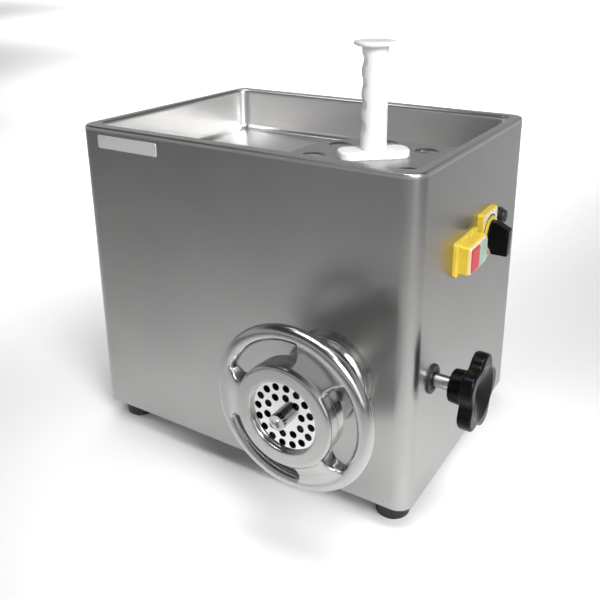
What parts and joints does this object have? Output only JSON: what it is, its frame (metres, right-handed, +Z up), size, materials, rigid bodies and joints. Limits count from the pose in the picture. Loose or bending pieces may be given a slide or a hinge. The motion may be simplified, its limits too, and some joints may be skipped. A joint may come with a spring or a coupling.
{
  "type": "electric meat grinder",
  "caption": "Table-top electric meat grinder: steel housing with meat pan, guard and pusher, front grinding head with hand-wheel ring nut, side clamp knob and switches.",
  "frame": {"origin": "on the standing plane, below the middle of the whole machine's extents", "axes": "+X to the operator's right (switch side), +Y to the rear, +Z up; the head and hand wheel face -Y"},
  "size_m": [0.5896, 0.5296, 0.6005],
  "materials": {
    "housing_steel": "brushed",
    "pan_steel": "satin",
    "guard_steel": "satin",
    "polished_steel": "polished",
    "tool_steel": "satin",
    "chrome_steel": "polished",
    "dark_steel": "burnished",
    "machine_steel": "machined",
    "zinc_plated": "zinc plated",
    "cast_case": "as cast",
    "black_rubber": "matt",
    "black_bakelite": "glossy",
    "black_plastic": "satin",
    "white_plastic": "satin",
    "yellow_plastic": "satin",
    "pale_plastic": "translucent",
    "red_plastic": "satin",
    "green_plastic": "satin",
    "brass": "turned",
    "can_aluminium": "drawn",
    "badge_metal": "satin"
  },
  "bodies": {
    "housing": {"housing_shell": "housing_steel", "hopper_pan": "pan_steel", "feed_throat": "pan_steel", "base_plate": "housing_steel", "foot_front_left": "black_rubber", "foot_front_right": "black_rubber", "foot_rear_left": "black_rubber", "foot_rear_right": "black_rubber", "foot_screws": "zinc_plated", "rear_cover": "housing_steel", "rear_screws": "zinc_plated", "cable_gland": "black_plastic", "gland_locknut": "zinc_plated", "name_plate": "badge_metal", "throat_flange": "pan_steel", "guard_plate": "guard_steel", "guard_posts": "pan_steel", "barrel_socket": "polished_steel", "socket_bolts": "zinc_plated", "collar_gasket": "polished_steel", "clamp_grommet": "black_rubber", "output_bearings": "machine_steel", "gearbox_case": "cast_case", "gearbox_cover": "cast_case", "motor_stator": "cast_case", "motor_end_bells": "cast_case", "motor_bearings": "machine_steel", "motor_fan_cowl": "black_plastic", "run_capacitor": "can_aluminium", "terminal_block": "white_plastic", "switch_box": "yellow_plastic", "button_bezel": "pale_plastic", "switch_contacts": "black_plastic", "selector_plate": "yellow_plastic", "selector_ring": "yellow_plastic", "selector_cams": "black_plastic", "reset_collar": "black_plastic", "overload_relay": "black_plastic"},
    "pusher": {"pusher_stem": "white_plastic", "pusher_grip": "white_plastic"},
    "head": {"barrel": "polished_steel"},
    "worm_set": {"worm": "chrome_steel", "knife": "dark_steel"},
    "plate_seat": {"cutting_plate": "tool_steel"},
    "handwheel": {"ring_nut": "polished_steel", "wheel_webs": "polished_steel", "wheel_ring": "polished_steel"},
    "drive": {"output_gear": "machine_steel", "drive_hub": "machine_steel"},
    "motor_rotor_set": {"motor_rotor": "machine_steel", "motor_pinion": "machine_steel", "motor_fan": "black_plastic"},
    "clamp_shoe": {"clamp_pad": "brass"},
    "clamp_knob": {"clamp_screw": "polished_steel", "star_knob": "black_bakelite"},
    "stop": {"stop_button": "red_plastic"},
    "start": {"start_button": "green_plastic"},
    "selector": {"selector_lever": "black_bakelite"},
    "reset": {"reset_button": "black_rubber"}
  },
  "joints": [
    {"name": "pusher_lift", "type": "slide", "parent": "housing", "child": "pusher", "axis": [0, 0, 1], "range_m": [0, 0.19]},
    {"name": "head_slide", "type": "slide", "parent": "housing", "child": "head", "axis": [0, -1, 0], "range_m": [0, 0.15]},
    {"name": "worm_spin", "type": "hinge", "parent": "head", "child": "worm_set", "pos_m": [0.11925, -0.04025, 0.201], "axis": [0, 1, 0], "continuous": true},
    {"name": "plate_advance", "type": "slide", "parent": "head", "child": "plate_seat", "axis": [0, -1, 0], "range_m": [0, 0.008]},
    {"name": "handwheel_turn", "type": "hinge", "parent": "plate_seat", "child": "handwheel", "pos_m": [0.11925, -0.23175, 0.201], "axis": [0, -1, 0], "range_deg": [0, 725]},
    {"name": "drive_spin", "type": "hinge", "parent": "housing", "child": "drive", "pos_m": [0.11925, 0.04975, 0.201], "axis": [0, 1, 0], "continuous": true},
    {"name": "rotor_spin", "type": "hinge", "parent": "housing", "child": "motor_rotor_set", "pos_m": [0.01425, 0.04975, 0.201], "axis": [0, 1, 0], "continuous": true},
    {"name": "clamp_advance", "type": "slide", "parent": "housing", "child": "clamp_shoe", "axis": [1, 0, 0], "range_m": [0, 0.005]},
    {"name": "clamp_knob_turn", "type": "hinge", "parent": "clamp_shoe", "child": "clamp_knob", "pos_m": [0.22825, -0.08025, 0.196], "axis": [1, 0, 0], "range_deg": [0, 725]},
    {"name": "stop_press", "type": "slide", "parent": "housing", "child": "stop", "axis": [-1, 0, 0], "range_m": [0, 0.003], "stiffness_N_per_m": 600, "springref_m": -0.002},
    {"name": "start_press", "type": "slide", "parent": "housing", "child": "start", "axis": [-1, 0, 0], "range_m": [0, 0.003], "stiffness_N_per_m": 600, "springref_m": -0.002},
    {"name": "selector_turn", "type": "hinge", "parent": "housing", "child": "selector", "pos_m": [0.22825, 0.08125, 0.339], "axis": [1, 0, 0], "range_deg": [-45, 45]},
    {"name": "reset_press", "type": "slide", "parent": "housing", "child": "reset", "axis": [-1, 0, 0], "range_m": [0, 0.0015], "stiffness_N_per_m": 500, "springref_m": -0.002}
  ],
  "couplings": [
    {"joint": "handwheel_turn", "follows": "plate_advance", "rad_per_m": 1570.8},
    {"joint": "clamp_knob_turn", "follows": "clamp_advance", "rad_per_m": 2513.3},
    {"joint": "rotor_spin", "follows": "drive_spin", "ratio": -6},
    {"joint": "worm_spin", "follows": "drive_spin", "ratio": 1}
  ]
}
